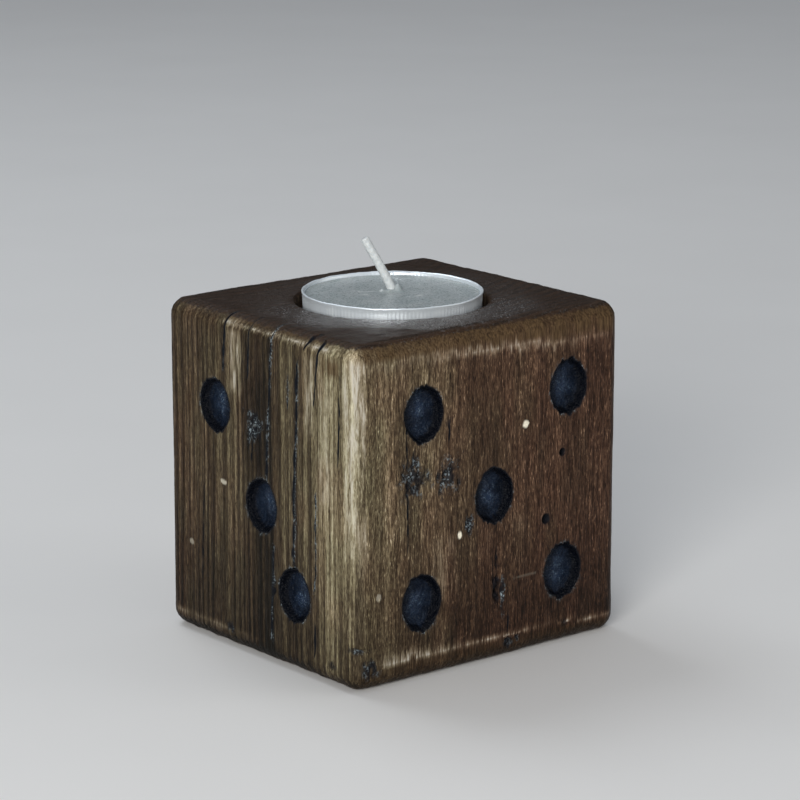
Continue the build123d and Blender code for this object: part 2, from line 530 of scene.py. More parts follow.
def side_sheet():
    """The unrolled sides, finely divided wherever there is a mark."""
    sheet = Sheet(brick_points((0, 0), (GIRTH, CREST), (ACROSS_GRAIN, ALONG_GRAIN)))
    for split in SPLITS:
        add_split(sheet, split)
    for *place, width, tall, _, _ in GOUGES:
        add_patch(sheet, on_strip(*place), (width * 1.4, tall * 1.4), GOUGE_STEP)
    for *place, width, tall, _, _ in PAINT_SPOTS:
        add_patch(sheet, on_strip(*place), (width + 0.4, tall + 0.4), SPOT_STEP)
    for *place, radius, _ in BEETLE_HOLES:
        add_hole(sheet, on_strip(*place), radius)
    add_pips(sheet, "sides")
    border = np.linspace(0, GIRTH, round(GIRTH / ACROSS_GRAIN) + 1)
    ends = np.linspace(0, CREST, round(CREST / ALONG_GRAIN) + 1)[1:-1]
    sheet.add(np.concatenate([np.stack([border, np.full_like(border, up)], -1) for up in (0, CREST)]))
    sheet.add(np.concatenate([np.stack([np.full_like(ends, along), ends], -1) for along in (0, GIRTH)]))
    return sheet.triangles(ACROSS_GRAIN / ALONG_GRAIN)


def flat_border(up):
    """The points that the strip's border shares with the top or the underside."""
    border = np.linspace(0, GIRTH, round(GIRTH / ACROSS_GRAIN) + 1)[:-1]
    return side_surface(border, np.full_like(border, up))[0][:, :2]


def flat_sheet(edge, step, fill):
    """The triangles of a flat face inside its edge; fill puts the face's marks on the sheet."""
    half = edge.max(axis=0)
    sheet = Sheet(brick_points(-half, half, (step, step * 0.87)))
    fill(sheet)
    sheet.clear((np.abs(sheet.points) > half - 0.6 * step).any(axis=1))
    sheet.add(edge)
    return sheet.triangles(1)


def top_sheet():
    lip = BORE_RADIUS + BORE_LIP

    def open_bore(sheet):
        sheet.clear_circle((0, 0), lip + 0.9 * END_GRAIN_STEP)
        sheet.add(*around((0, 0), circle(BORE_STEPS), [lip]))

    places, faces = flat_sheet(flat_border(CREST), END_GRAIN_STEP, open_bore)
    on_bore = np.hypot(*places.T) < lip + 0.01
    return places, faces[~on_bore[faces].all(axis=1)]


def under_sheet():
    edge = flat_border(0) * (1, -1)
    return flat_sheet(edge, END_GRAIN_STEP * 1.4, lambda sheet: add_pips(sheet, "underside"))


# --- how the marks show ---

# How light the bare wood is round the block, from 0, black, to 1, bleached.
TONES = {
    "left": [
        (-31, 0.24), (-27, 0.33), (-22, 0.37), (-18, 0.33), (-14, 0.35), (-9, 0.42), (-6, 0.38), (-3.5, 0.27),
        (-1, 0.22), (2, 0.22), (5, 0.20), (7.5, 0.38), (9.5, 0.45), (12.5, 0.29), (14, 0.38), (17, 0.45),
        (20, 0.49), (22, 0.60), (25.5, 0.66), (26.8, 0.50), (28.5, 0.66), (30.5, 0.74),
    ],
    "front": [
        (-33.6, 0.60), (-32.2, 0.46), (-30.5, 0.48), (-27, 0.51), (-23, 0.44), (-18, 0.43), (-13, 0.47),
        (-9, 0.36), (-4, 0.33), (1, 0.32), (6, 0.34), (11, 0.36), (15, 0.33), (22, 0.32), (28, 0.32),
        (33, 0.26),
    ],
    "right": [
        (-30, 0.30), (-22, 0.40), (-14, 0.34), (-6, 0.42), (2, 0.38), (8, 0.44), (15, 0.34), (23, 0.41),
        (30, 0.36),
    ],
    "back": [
        (-31, 0.38), (-22, 0.34), (-13, 0.42), (-5, 0.36), (4, 0.43), (12, 0.35), (21, 0.41), (31, 0.28),
    ],
}

# How warm the wood's colour is, from 0, olive, to 1, red-brown.
WARMTHS = {
    "left": [(-30, 0.30), (-10, 0.06), (15, 0.02), (30, 0.0)],
    "front": [(-33, 0.15), (-20, 0.30), (-5, 0.65), (30, 1.00)],
    "right": [(-28, 0.90), (0, 0.50), (28, 0.35)],
    "back": [(-28, 0.35), (28, 0.60)],
}


def round_the_block(table):
    """A table of values for all four faces as one curve along the strip, which meets itself at its ends."""
    places = []
    for face, row in table.items():
        places += [((FACES[face][0] + across) % GIRTH, value) for across, value in row]
    along, values = np.array(sorted(places)).T
    return np.array([along[-1] - GIRTH, *along, along[0] + GIRTH]), np.array([values[-1], *values, values[0]])


class Looks:
    """What a surface's material reads at each point, all from 0 to 1, and how deep the point lies."""

    def __init__(self, points, outward, tone):
        self.points = points
        self.outward = outward
        self.depth = weathering(points, outward)
        nothing = np.zeros(points.shape[:-1])
        self.values = {
            "tone": nothing + tone,
            "stain_and_shade": nothing.copy(),  # blue-black: paint, iron staining and old dirt, and painted shade inside the bore, the splits and the beetle holes
            "pale": nothing.copy(),  # bare fibres
            "cream": nothing.copy(),  # old paint
            "fleck_and_glint": nothing.copy(),  # blue-white specks left in the torn places, and painted glints round the pips' rims
            "warmth": nothing + 0.5,  # from olive to red-brown
            "ochre": nothing.copy(),  # wood rubbed back to its warm colour
            "rings": growth_rings(points),
            "end_grain": np.abs(outward[..., 2]),
            "wax_and_sheen": nothing.copy(),  # candle wax rubbed into the wood, which also carries a painted sheen in front of the cup
            "quarter": np.abs(outward[..., 0]),  # how squarely the cut crosses the rings
        }

    def raise_to(self, name, amount, where=...):
        value = self.values[name]
        value[where] = np.maximum(value[where], np.clip(amount, 0, 1))

    def finished_points(self):
        return self.points - self.outward * self.depth[:, None]

    def pips(self, sheet_name, first, second):
        """Hollow out the pips of a sheet, darken the wood round them with their paint, and paint glints round
        their rims.
        """
        for centre, seed in pips_on(sheet_name):
            across, up = first - centre[0], second - centre[1]
            near = np.hypot(across, up) < PIP_RADIUS + 3
            across, up = across[near], up[near]
            away, angle = np.hypot(across, up), np.arctan2(up, across)
            rim = pip_rim(angle, seed)
            inside = ease(rim + 0.2 - away, 0, 0.4)
            self.depth[near] = self.depth[near] * (1 - inside) + pip_hollow(away, angle, seed)
            ragged = 0.30 + 0.30 * flat_noise(across, up, (0.7, 1.5), seed + 7)
            clumps = ease(flat_noise(across, up, (1.6, 1.6), seed + 8), -0.2, 0.5)
            self.raise_to("stain_and_shade", 1 - ease(away - rim, 0.05, 0.15 + ragged), near)
            # Painted glints: blue-white specks just outside each pip's rim.
            self.raise_to("fleck_and_glint", 0.7 * clumps * hump(away - rim - 0.15, 0.25), near)


class SideLooks(Looks):
    """The looks of the sides, at places on the unrolled strip.

    front and left are places across those faces, in mm from their middles, and height is from the ground.
    """

    def __init__(self, along, up):
        super().__init__(*side_surface(along, up), np.interp(along, *round_the_block(TONES)))
        self.along = along
        self.up = up
        self.front = along - FACES["front"][0]
        self.left = along - FACES["left"][0]
        self.height = up - FOOT + BOTTOM_RADIUS
        self.fibre = flat_noise(along, up, (0.55, 5.0), 21)
        self.soft = flat_noise(along, up, (3.0, 9.0), 22)
        self.fade = between(up, 0.3, 2.0, CREST - 1.6, CREST - 0.4)  # marks stop short of the flat faces

    def away_from(self, place, width, tall):
        """How far each place is from the middle of a mark, whose border is at 1."""
        along, up = on_strip(*place)
        return np.hypot((self.along - along) / width, (self.up - up) / tall) * 2

    def gouges(self):
        for *place, width, tall, depth, flecked in GOUGES:
            seed = int(abs(place[1]) * 10 + place[2])
            away = self.away_from(place, width, tall)
            near = away < 1.7
            here, there = self.along[near], self.up[near]
            ragged = 0.42 * flat_noise(here, there, (0.9, 1.9), seed)
            ragged = ragged + 0.22 * flat_noise(here, there, (0.4, 0.6), seed + 1)
            hollow = ease(1.12 - away[near] + ragged, 0, 0.7)
            lumps = 0.6 + 0.8 * flat_noise(here, there, (0.5, 0.8), seed + 2)
            cloud = ease(flat_noise(here, there, (0.6, 1.0), seed + 4) + 1.0, 0, 0.6)
            clumps = ease(flat_noise(here, there, (1.1, 1.4), seed + 3), -0.5, 0.4)
            self.depth[near] += self.fade[near] * hollow * lumps * depth
            self.raise_to("stain_and_shade", hollow * cloud * 0.9, near)
            self.raise_to("fleck_and_glint", hollow * clumps * min(1, 2 * flecked), near)

    def splits(self):
        for split in SPLITS:
            *_, depth, bridged = split
            low, high = split_ends(split)
            middle, half = split_line(split, self.up)
            near = (np.abs(self.along - middle) < 1.2) & (self.up > low) & (self.up < high)
            offset, half = (self.along - middle)[near], half[near]
            apart = np.abs(offset) / np.maximum(half, 0.03)
            open_here = ease(half, 0.03, 0.12)
            clumps = ease(flat_noise(self.along[near], self.up[near], (1.0, 2.5), 33), -0.8, 0.2)
            self.depth[near] += self.fade[near] * open_here * depth * np.clip(1 - apart, 0, 1) ** 0.7
            # Dark in and beside each split: dirt, and painted shade down in its depth.
            self.raise_to("stain_and_shade", open_here * (1 - ease(apart, 1.0, 1.7)), near)
            self.raise_to("fleck_and_glint", bridged * open_here * clumps * hump(offset - half + 0.08, 0.26), near)

    def holes_and_spots(self):
        for *place, radius, depth in BEETLE_HOLES:
            away = self.away_from(place, 2 * radius, 2 * radius)
            self.depth += depth * ease(1.08 - away, 0, 0.2)
            # Dark in and round each beetle hole: dirt round it, and painted shade inside it.
            self.raise_to("stain_and_shade", 1 - ease(away, 0.95, 1.5))
        chipped = 0.2 * flat_noise(self.along, self.up, (0.5, 0.5), 35)
        for *place, width, tall, raised, strength in PAINT_SPOTS:
            spot = ease(1.12 - self.away_from(place, width, tall) + chipped, 0, 0.25)
            self.depth -= raised * spot
            self.raise_to("cream", strength * spot)

    def brushed_patches(self):
        for face, across, width, low, high, strength in BRUSHED:
            along = on_strip(face, across, low)[0]
            reach = hump(self.along - along, width, 4) * between(self.height, low, low + 3, high - 2, high)
            self.raise_to("pale", strength * reach * (0.75 + 0.7 * self.fibre))

    def front_edges(self):
        """The front's rubbed top and bottom edges, with bare fibres where the rubbing stops."""
        front, height, fibre, soft = self.front, self.height, self.fibre, self.soft
        on_front = between(front, -33.2, -32.2, 33.5, 35)
        top_line = 66.2 - 0.05 * (front + 12) * (front > -12) + 0.5 * soft
        band = hump(height - top_line + 1.1 * fibre, 0.85)
        self.raise_to("pale", 0.95 * on_front * band * (0.35 + 0.65 * hump(front - 2, 17)))
        self.raise_to("ochre", on_front * ease(height - top_line, 0.3, 1.6))
        bottom_line = 4.6 - 0.02 * front + 0.35 * soft
        band = np.where(height > bottom_line, hump(height - bottom_line, 0.8 + 1.2 * ease(-front, 0, 24)), 0)
        self.raise_to("pale", 1.1 * on_front * ease(front, -30, -27) * band * (0.75 + 0.6 * fibre))
        self.raise_to("ochre", 0.3 * on_front * (1 - ease(height - bottom_line, -1.0, 0.1)))

    def left_edges(self):
        """The left face's crisp top edge, the warm patch below it, and the line low down."""
        left, height, fibre, soft = self.left, self.height, self.fibre, self.soft
        crisp_part = between(left, -13, -10, 22, 25)
        on_left = between(left, -33, -31, 30, 32)
        crisp = hump(height - 69.0 - 0.3 * soft, 0.50) * crisp_part
        self.raise_to("pale", 1.2 * on_left * crisp * (0.80 + 0.5 * fibre))
        self.raise_to("ochre", 0.9 * on_left * crisp_part * ease(height - 0.3 * soft, 69.5, 70.2))
        self.raise_to("ochre", hump(left - 24.6, 2.9, 4) * hump(height - 65.7 - 0.5 * soft, 1.8, 4))
        low_line = hump(height - 3.6, 0.8) * (0.65 + 0.5 * soft)
        self.raise_to("pale", 0.9 * between(left, -36, -33, -14, 6) * low_line)

    def bleached_edge(self):
        """The bleached strip along the left face's near edge, made duller and darker towards its foot by
        painted shade.
        """
        left, height, fibre, soft = self.left, self.height, self.fibre, self.soft
        tone = self.values["tone"]
        strip = ease(left - 0.7 * soft, 27.8, 29.6) * (1 - ease(left - 0.5 * soft, 32.9, 33.7))
        strip = strip * ease(height - 1.5 * fibre, 9.5, 11.5) * (1 - ease(height, 66.5, 69))
        wisps = flat_noise(self.along, self.up, (1.1, 13), 23)
        streaky = ease(fibre + 0.6 * soft + 0.5 * wisps, -0.9, 0.55)
        # lit is painted light: the strip and the wood beside it get painted shade towards the foot.
        lit = ease(height + 5 * soft, 18, 44)
        self.raise_to("pale", strip * (0.25 + 0.65 * streaky) * (0.25 + 0.75 * lit))
        tone -= 0.20 * (1 - lit) * ease(left, 27, 30) * (1 - ease(self.front, -34, -32))
        foot = between(left, 27, 29, 33, 34.5) * (1 - ease(height, 9.0, 11.0))
        tone += foot * (0.5 - tone)

    def far_edges(self):
        """Much the same wear on the faces turned away."""
        height, fibre, soft = self.height, self.fibre, self.soft
        far = (1 - ease(self.left, -38, -34)) + ease(self.front, 36, 40)
        edge_lines = hump(height - 66.3 + 0.8 * fibre, 1.0) + hump(height - 4.6, 0.9)
        self.raise_to("pale", 0.5 * far * edge_lines * (0.4 + 0.6 * ease(soft, -0.2, 0.5)))
        rubbed = ease(np.abs(height - HEIGHT / 2), HEIGHT / 2 - 4, HEIGHT / 2 - 3)
        self.raise_to("ochre", 0.6 * far * rubbed)
        for turn in (1, 5, 7):
            arris = hump(self.along - TURNS[turn] - CORNER / 2, 1.3) * between(height, 3, 6, 65, 68)
            self.raise_to("pale", 0.5 * arris * (0.45 + 0.5 * soft + 0.4 * fibre))

    def weather_and_painted_shade(self):
        """The dark that weather leaves beside the knot, and painted shade low down, darker towards the
        bottom.
        """
        left, height, soft = self.left, self.height, self.soft
        self.values["warmth"] = np.interp(self.along, *round_the_block(WARMTHS)) + 0.25 * soft
        knot = hump(left + 0.3, 4.4, 4) * hump(height - 50.5, 10, 4)
        low_dark = hump(left - 3.4, 2.6) * (1 - ease(height, 22, 33))
        # Painted shade: the wood darkens towards the bottom, most of all on its bottom edge.
        painted_shade_low = 0.15 * (1 - ease(height + 3 * soft, 2, 36)) + 0.26 * (1 - ease(height, 0.5, 4.5))
        self.values["tone"] += 0.02 - 0.15 * knot - 0.08 * low_dark - painted_shade_low


def side_looks(along, up):
    looks = SideLooks(along, up)
    looks.gouges()
    looks.splits()
    looks.holes_and_spots()
    looks.brushed_patches()
    looks.front_edges()
    looks.left_edges()
    looks.bleached_edge()
    looks.far_edges()
    looks.weather_and_painted_shade()
    looks.pips("sides", along, up)
    return looks


def from_border(x, y):
    """How far places on the top are inside the line where its rounded edge begins."""
    over_x, over_y = np.abs(x) - HALF_X, np.abs(y) - HALF_Y
    outside = np.hypot(np.maximum(over_x, 0), np.maximum(over_y, 0))
    return UPRIGHT_RADIUS - TOP_RADIUS - (outside + np.minimum(np.maximum(over_x, over_y), 0))


def top_looks(x, y):
    looks = Looks(*flat_surface(x, y, HEIGHT, 1.0), 0.30)
    radius = np.hypot(x, y)
    lip = BORE_RADIUS + BORE_LIP
    fade = ease(from_border(x, y), 0, 1.5) * ease(radius, lip, lip + 1.5)
    looks.depth += fade * (0.05 * flat_noise(x, y, (0.9, 0.9), 51) + 0.04 * flat_noise(x, y, (2.2, 2.2), 52))
    # Wax spilt round the bore, heaviest in front of it, where it also paints a sheen.
    spilt = hump(radius - BORE_RADIUS, 9 + 2.5 * flat_noise(x, y, (6, 6), 53), 4)
    towards_front = ease(-(0.5 * x + 0.85 * y) / np.maximum(radius, 1), -0.1, 0.8)
    looks.raise_to("wax_and_sheen", spilt * (0.2 + 0.8 * towards_front))
    return looks


def under_looks(x, y):
    """The underside as seen from below, so its own y runs towards the front."""
    looks = Looks(*flat_surface(x, -y, 0, -1.0), 0.33)
    looks.pips("underside", x, y)
    return looks


def bore_rings():
    """The bore's rings from its lip down its wall and in to the drill's centre mark.

    Each is a radius, a height, and how far the skin there faces inward, from 0, upward, to 1.
    """
    lip = np.linspace(0, pi / 2, 6)
    radii, heights = BORE_RADIUS + BORE_LIP * (1 - np.sin(lip)), HEIGHT - BORE_LIP * (1 - np.cos(lip))
    rings = [*zip(radii, heights, np.sin(lip))]
    rings += [(BORE_RADIUS, height, 1) for height in np.linspace(HEIGHT - BORE_LIP, BORE_FLOOR, 22)[1:]]
    for radius in [*np.linspace(BORE_RADIUS, SPUR_RADIUS, 16)[1:], 0.9, 0.5, 0.1]:
        rings.append((radius, BORE_FLOOR - SPUR_DEPTH * max(0, 1 - radius / SPUR_RADIUS), 0))
    return np.array(rings).T


def bore_skin():
    radii, heights, inward = bore_rings()
    turn = circle(BORE_STEPS)
    sideways = np.stack([np.cos(turn), np.sin(turn), np.zeros_like(turn)], axis=-1)
    upward = np.array([0, 0, 1.0])
    points = radii[:, None, None] * sideways + heights[:, None, None] * upward
    outward = np.sqrt(1 - inward[:, None, None] ** 2) * upward - inward[:, None, None] * sideways
    looks = Looks(points.reshape(-1, 3), outward.reshape(-1, 3), 0.36)

    drop = np.repeat(HEIGHT - heights, BORE_STEPS)
    radius = np.repeat(radii, BORE_STEPS)
    angle = np.tile(turn, len(radii))
    on_floor = drop > HEIGHT - BORE_FLOOR - 0.01
    chatter = 0.05 * np.sin(angle * 31 + 2.2 * drop) + 0.04 * noise(looks.points, (1.2, 1.2, 0.8), 61)
    into = ease(drop, 0.0, 1.2)
    looks.depth = looks.depth * (1 - 0.8 * into) + into * chatter + 0.05 * np.sin(radius * 7.5) * on_floor
    looks.values["end_grain"] = np.where((drop < 0.3) | on_floor, 1.0, 0.2)
    # Painted shade: the bore's wall darkens the deeper it goes.
    looks.raise_to("stain_and_shade", 0.25 * ease(drop, 0.5, 6))
    return looks, grid_faces(len(radii), BORE_STEPS) + [ring_face(len(radii) - 1, BORE_STEPS)]


def ring_face(row, columns, flip=False):
    """One face across a ring of points."""
    face = list(range(row * columns, (row + 1) * columns))
    return face[::-1] if flip else face


def grid_faces(rows, columns, flip=False, closed=False):
    """Four-sided faces between rings of points; closed joins the last ring to the first."""
    faces = []
    for row in range(rows if closed else rows - 1):
        after = (row + 1) % rows
        for i in range(columns):
            j = (i + 1) % columns
            face = [row * columns + i, row * columns + j, after * columns + j, after * columns + i]
            faces.append(face[::-1] if flip else face)
    return faces


# --- materials ---


def adds_node(operation, swapped=False):
    """An arithmetic method that does its work in the material."""

    def method(self, other):
        return self.shader.math(operation, *((other, self) if swapped else (self, other)))

    return method


class Value:
    """Something that a material works out at each point. Arithmetic on it adds nodes to the material."""

    def __init__(self, shader, socket):
        self.shader = shader
        self.socket = socket

    __add__ = adds_node("ADD")
    __radd__ = adds_node("ADD", swapped=True)
    __sub__ = adds_node("SUBTRACT")
    __rsub__ = adds_node("SUBTRACT", swapped=True)
    __mul__ = adds_node("MULTIPLY")
    __pow__ = adds_node("POWER")


class Shader:
    """Writes a material's node graph; most methods add a node and return the Value that it gives out."""

    def __init__(self, name):
        self.material = bpy.data.materials.new(name)
        self.material.use_nodes = True
        self.tree = self.material.node_tree
        self.tree.nodes.clear()
        self.mm = self.vector("MULTIPLY", self.node("TexCoord", "Object"), (1 / MM,) * 3)

    def node(self, kind, output, inputs=None, **settings):
        node = self.tree.nodes.new("ShaderNode" + kind)
        for name, value in settings.items():
            setattr(node, name, value)
        for key, value in (inputs or {}).items():
            if isinstance(value, Value):
                self.tree.links.new(value.socket, node.inputs[key])
            elif node.inputs[key].type == "RGBA":
                node.inputs[key].default_value = (*value, 1)
            else:
                node.inputs[key].default_value = value
        return Value(self, node.outputs[output]) if output is not None else node

    def vector(self, operation, a, b):
        return self.node("VectorMath", 0, {0: a, 1: b}, operation=operation)

    def math(self, operation, a, b, clamp=False):
        return self.node("Math", 0, {0: a, 1: b}, operation=operation, use_clamp=clamp)

    def mix(self, factor, a, b, blend="MIX"):
        inputs = {0: factor, 6: a, 7: b}
        return self.node("Mix", 2, inputs, data_type="RGBA", blend_type=blend, clamp_factor=True)

    def noise(self, grain, detail=3.0, roughness=0.55):
        """Noise from 0 to 1. grain is the size of its lumps in mm, one number or one for each axis."""
        place = self.vector("DIVIDE", self.mm, tuple(np.broadcast_to(grain, 3)))
        inputs = {"Vector": place, "Scale": 1.0, "Detail": detail, "Roughness": roughness}
        return self.node("TexNoise", "Fac", inputs)

    def spread(self, value, low, high, start=0.0, end=1.0):
        """value from low to high, as start to end."""
        inputs = {"Value": value, 1: low, 2: high, 3: start, 4: end}
        return self.node("MapRange", 0, inputs, interpolation_type="SMOOTHSTEP")

    def patches(self, grain, low, high, detail=3.0, roughness=0.55):
        """Noise that is 0 below low and 1 above high."""
        return self.spread(self.noise(grain, detail, roughness), low, high)

    def ramp(self, factor, stops):
        node = self.node("ValToRGB", None, {"Fac": factor})
        elements = node.color_ramp.elements
        while len(elements) < len(stops):
            elements.new(0.5)
        for element, (place, colour) in zip(elements, stops):
            element.position = place
            element.color = (*colour, 1)
        return Value(self, node.outputs["Color"])

    def attribute(self, name):
        return self.node("Attribute", "Fac", attribute_name=name)

    def bump(self, height, millimetres):
        return self.node("Bump", "Normal", {"Strength": 1.0, "Distance": millimetres * MM, "Height": height})

    def finish(self, **inputs):
        """The surface itself; the names are the Principled shader's, with _ for a space."""
        named = {name.replace("_", " "): value for name, value in inputs.items()}
        self.node("OutputMaterial", None, {"Surface": self.node("BsdfPrincipled", 0, named)})
        return self.material


WOOD_SHADES = [
    (0.0, (0.005, 0.004, 0.003)),
    (0.22, (0.021, 0.0140, 0.0098)),
    (0.45, (0.062, 0.047, 0.034)),
    (0.68, (0.205, 0.176, 0.134)),
    (0.95, (0.560, 0.530, 0.475)),
]


def wood_grain(s):
    """The patterns in the wood, each from 0 to 1."""
    return SimpleNamespace(
        fuzz=s.patches((0.20, 0.20, 1.1), 0.28, 0.72, roughness=0.6),
        fibre=s.patches((0.36, 0.36, 4.2), 0.28, 0.72, roughness=0.6),
        lines=s.patches((0.55, 0.55, 70.0), 0.32, 0.68, roughness=0.65),
        streak=s.patches((0.95, 0.95, 22.0), 0.30, 0.70),
        broad=s.patches((3.2, 3.2, 60.0), 0.30, 0.70, detail=2.0),
        pores=s.patches((0.23, 0.23, 1.6), 0.57, 0.66, detail=2.0),
        glints=s.patches((0.26, 0.26, 1.3), 0.59, 0.70, detail=2.0),
        rays=s.patches(0.35, 0.35, 0.70, roughness=0.6),
        late=s.spread(s.math("FRACT", s.attribute("rings"), 0.0), 0.35, 0.80),  # the dark part of each ring
    )


def side_grain_colour(s, grain):
    """Weathered wood seen along the grain, from black through brown to bleached."""
    quarter = s.attribute("quarter")
    short = s.spread(quarter, 0.0, 1.0, 0.25, 0.18)
    weights = {"fuzz": short, "fibre": short, "lines": quarter * 0.15, "streak": 0.12, "broad": 0.08}
    weights["late"] = quarter * -0.16
    value = s.attribute("tone")
    for pattern, weight in weights.items():
        value = value + (getattr(grain, pattern) - 0.5) * weight
    value = value - grain.pores * 0.15
    value = value + grain.glints * s.spread(quarter, 0.0, 1.0, 0.22, 0.09)
    bare = s.attribute("pale") * s.spread(grain.fibre, 0.10, 0.70, 0.45, 1.0)
    value = value + (0.88 - value) * bare
    hue = s.mix(s.attribute("warmth"), (1.0, 0.98, 0.74), (1.32, 0.89, 0.72))
    hue = s.mix(bare, hue, (1.0, 0.99, 0.97))
    colour = s.mix(1.0, s.ramp(value, WOOD_SHADES), hue, "MULTIPLY")
    ochre = s.attribute("ochre") * s.spread(grain.broad, 0.0, 0.8, 0.5, 0.9)
    return s.mix(ochre, colour, s.mix(grain.fibre, (0.036, 0.020, 0.009), (0.118, 0.073, 0.033)))


def end_grain_colour(s, grain):
    """Dark varnished wood sawn across the grain."""
    sawn = s.mix(grain.late, (0.036, 0.018, 0.009), (0.013, 0.007, 0.004))
    return s.mix(grain.rays * 0.5, sawn, (0.060, 0.036, 0.021))


def timber_material():
    s = Shader("weathered_timber")
    grain = wood_grain(s)
    stain_and_shade = s.attribute("stain_and_shade")
    wax_and_sheen = s.attribute("wax_and_sheen")
    varnished = s.spread(s.attribute("end_grain") + grain.streak * 0.10, 0.80, 0.92)

    colour = s.mix(varnished * 0.95, side_grain_colour(s, grain), end_grain_colour(s, grain))
    # Blue-black stains and dirt, with painted shade in the bore, the splits and the beetle holes.
    colour = s.mix(stain_and_shade, colour, (0.0045, 0.0055, 0.0085))
    specks = s.spread(s.noise((0.42, 0.42, 0.55), 2.0), 0.50, 0.62, 0.05, 1.0)
    # Blue-white specks in the torn places, and painted glints round the pips' rims.
    colour = s.mix(s.attribute("fleck_and_glint") * specks, colour, (0.28, 0.335, 0.36))
    colour = s.mix(s.attribute("cream"), colour, (0.88, 0.82, 0.66))
    dust_and_glints = s.patches(0.42, 0.61, 0.67, detail=2.0) * varnished
    # Painted sheen in front of the cup: pale specks and a whitish wax film, lighter where the wax lies.
    for dust_and_sheen in (dust_and_glints * s.spread(wax_and_sheen, 0.0, 0.8, 0.12, 1.0), wax_and_sheen * 0.05):
        colour = s.mix(dust_and_sheen, colour, (0.42, 0.43, 0.44))

    rough = s.spread(grain.fibre, 0.0, 1.0, 0.68, 0.48)
    rough = rough + varnished * (s.spread(wax_and_sheen, 0.0, 1.0, 0.30, 0.15) - rough)
    height = grain.fibre * 0.5 + grain.streak * 0.5 - grain.pores * 0.4 + grain.rays * varnished * 0.6
    return s.finish(
        Base_Color=colour,
        Roughness=s.math("ADD", rough, stain_and_shade * 0.2, clamp=True),
        Normal=s.bump(height, 0.10),
        Specular_IOR_Level=0.12 + wax_and_sheen * 0.50,
    )


def pip_paint_material():
    s = Shader("black_pip_paint")
    lumps = s.noise(0.8, 4.0, 0.6)
    crinkle = s.noise(0.30, 3.0, 0.6)
    # Painted shade and sheen: the paint's mottling stays near black on the wall and lightens to navy towards
    # the floor's middle.
    worn = s.spread(s.noise(2.6), 0.30, 0.65, 0.35, 1.0) * s.attribute("floor")
    colour = s.mix(worn, (0.0012, 0.0020, 0.0046), (0.014, 0.028, 0.060))
    # Painted glints: pale blue specks, mostly in the middle of the floor.
    dust_and_glints = s.spread(crinkle, 0.57, 0.67) * worn**2.0
    return s.finish(
        Base_Color=s.mix(dust_and_glints, colour, (0.24, 0.34, 0.42)),
        Roughness=s.spread(lumps, 0.3, 0.7, 0.20, 0.36),
        Normal=s.bump(lumps + crinkle * 0.5, 0.5),
        Specular_IOR_Level=s.spread(worn, 0.0, 1.0, 0.12, 0.25),
    )


def metal_material(name, grain, smear, colours, rough, metallic):
    """Brushed metal, whose colour and gloss change with noise the size of smear, or with its grain."""
    s = Shader(name)
    brushed = s.noise(grain)
    smear = s.noise(smear) if smear else brushed
    return s.finish(
        Base_Color=s.mix(smear, *colours),
        Metallic=metallic,
        Roughness=s.spread(smear, 0.3, 0.7, *rough),
        Normal=s.bump(brushed, 0.02),
    )


def aluminium_material():
    # Aluminium's own pale colour, tinted bluer as a painted reflection of cool light.
    colours = [(0.84, 0.92, 0.99), (0.91, 0.97, 1.0)]
    return metal_material("pressed_aluminium", (0.25, 0.25, 4.0), 2.0, colours, (0.30, 0.42), 0.45)


def steel_material():
    colours = [(0.50, 0.50, 0.51), (0.66, 0.66, 0.67)]
    return metal_material("tinned_steel", (0.3, 3.0, 0.3), None, colours, (0.25, 0.42), 1.0)


def waxy(s, depth, weight, **inputs):
    """A surface that light soaks into, to a depth in mm."""
    glow = {"Subsurface_Weight": weight, "Subsurface_Radius": (1.0, 0.9, 0.8), "Subsurface_Scale": depth * MM}
    return s.finish(**glow, **inputs)


def wax_material():
    s = Shader("paraffin_wax")
    frost = s.patches(0.45, 0.35, 0.70, 4.0, 0.65)
    # Paraffin's translucent grey, darkened further as painted shade on the wax's top.
    colour = s.mix(s.patches(3.0, 0.3, 0.7, 4.0), (0.30, 0.345, 0.35), (0.40, 0.435, 0.44))
    colour = s.mix(frost * 0.12, colour, (0.80, 0.83, 0.82))
    colour = s.mix(s.attribute("scuff"), colour, (0.88, 0.90, 0.89))
    rough = s.spread(frost, 0.0, 1.0, 0.26, 0.40)
    return waxy(s, 1.5, 0.35, Base_Color=colour, Roughness=rough, Normal=s.bump(frost, 0.025))


def wick_material():
    s = Shader("waxed_cotton")
    thread = s.noise((0.16, 0.16, 0.5))
    colour = s.mix(thread, (0.54, 0.57, 0.58), (0.70, 0.73, 0.73))
    return waxy(s, 0.5, 0.3, Base_Color=colour, Roughness=0.5, Normal=s.bump(thread, 0.05))


# --- pieces ---


def placed(name, data):
    """A new object in the scene."""
    thing = bpy.data.objects.new(name, data)
    bpy.context.scene.collection.objects.link(thing)
    return thing


def piece(name, points, faces, material, body, node, values=None):
    """A finished piece from points in millimetres, which rides on a body and stands for a CAD node."""
    mesh = bpy.data.meshes.new(name)
    mesh.from_pydata((np.asarray(points) * MM).tolist(), [], [list(map(int, face)) for face in faces])
    for key, value in (values or {}).items():
        mesh.attributes.new(key, "FLOAT", "POINT").data.foreach_set("value", value.astype(np.float32))
    edit = bmesh.new()
    edit.from_mesh(mesh)
    bmesh.ops.remove_doubles(edit, verts=edit.verts, dist=0.002 * MM)
    edit.to_mesh(mesh)
    edit.free()
    mesh.shade_smooth()
    mesh.materials.append(material)
    thing = placed(name, mesh)
    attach(thing, body)
    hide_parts(node)


def joined(parts):
    """Several (points, faces) as one."""
    points, faces, start = [], [], 0
    for some_points, some_faces in parts:
        points.append(some_points)
        faces += [[start + i for i in face] for face in some_faces]
        start += len(some_points)
    return np.concatenate(points), faces


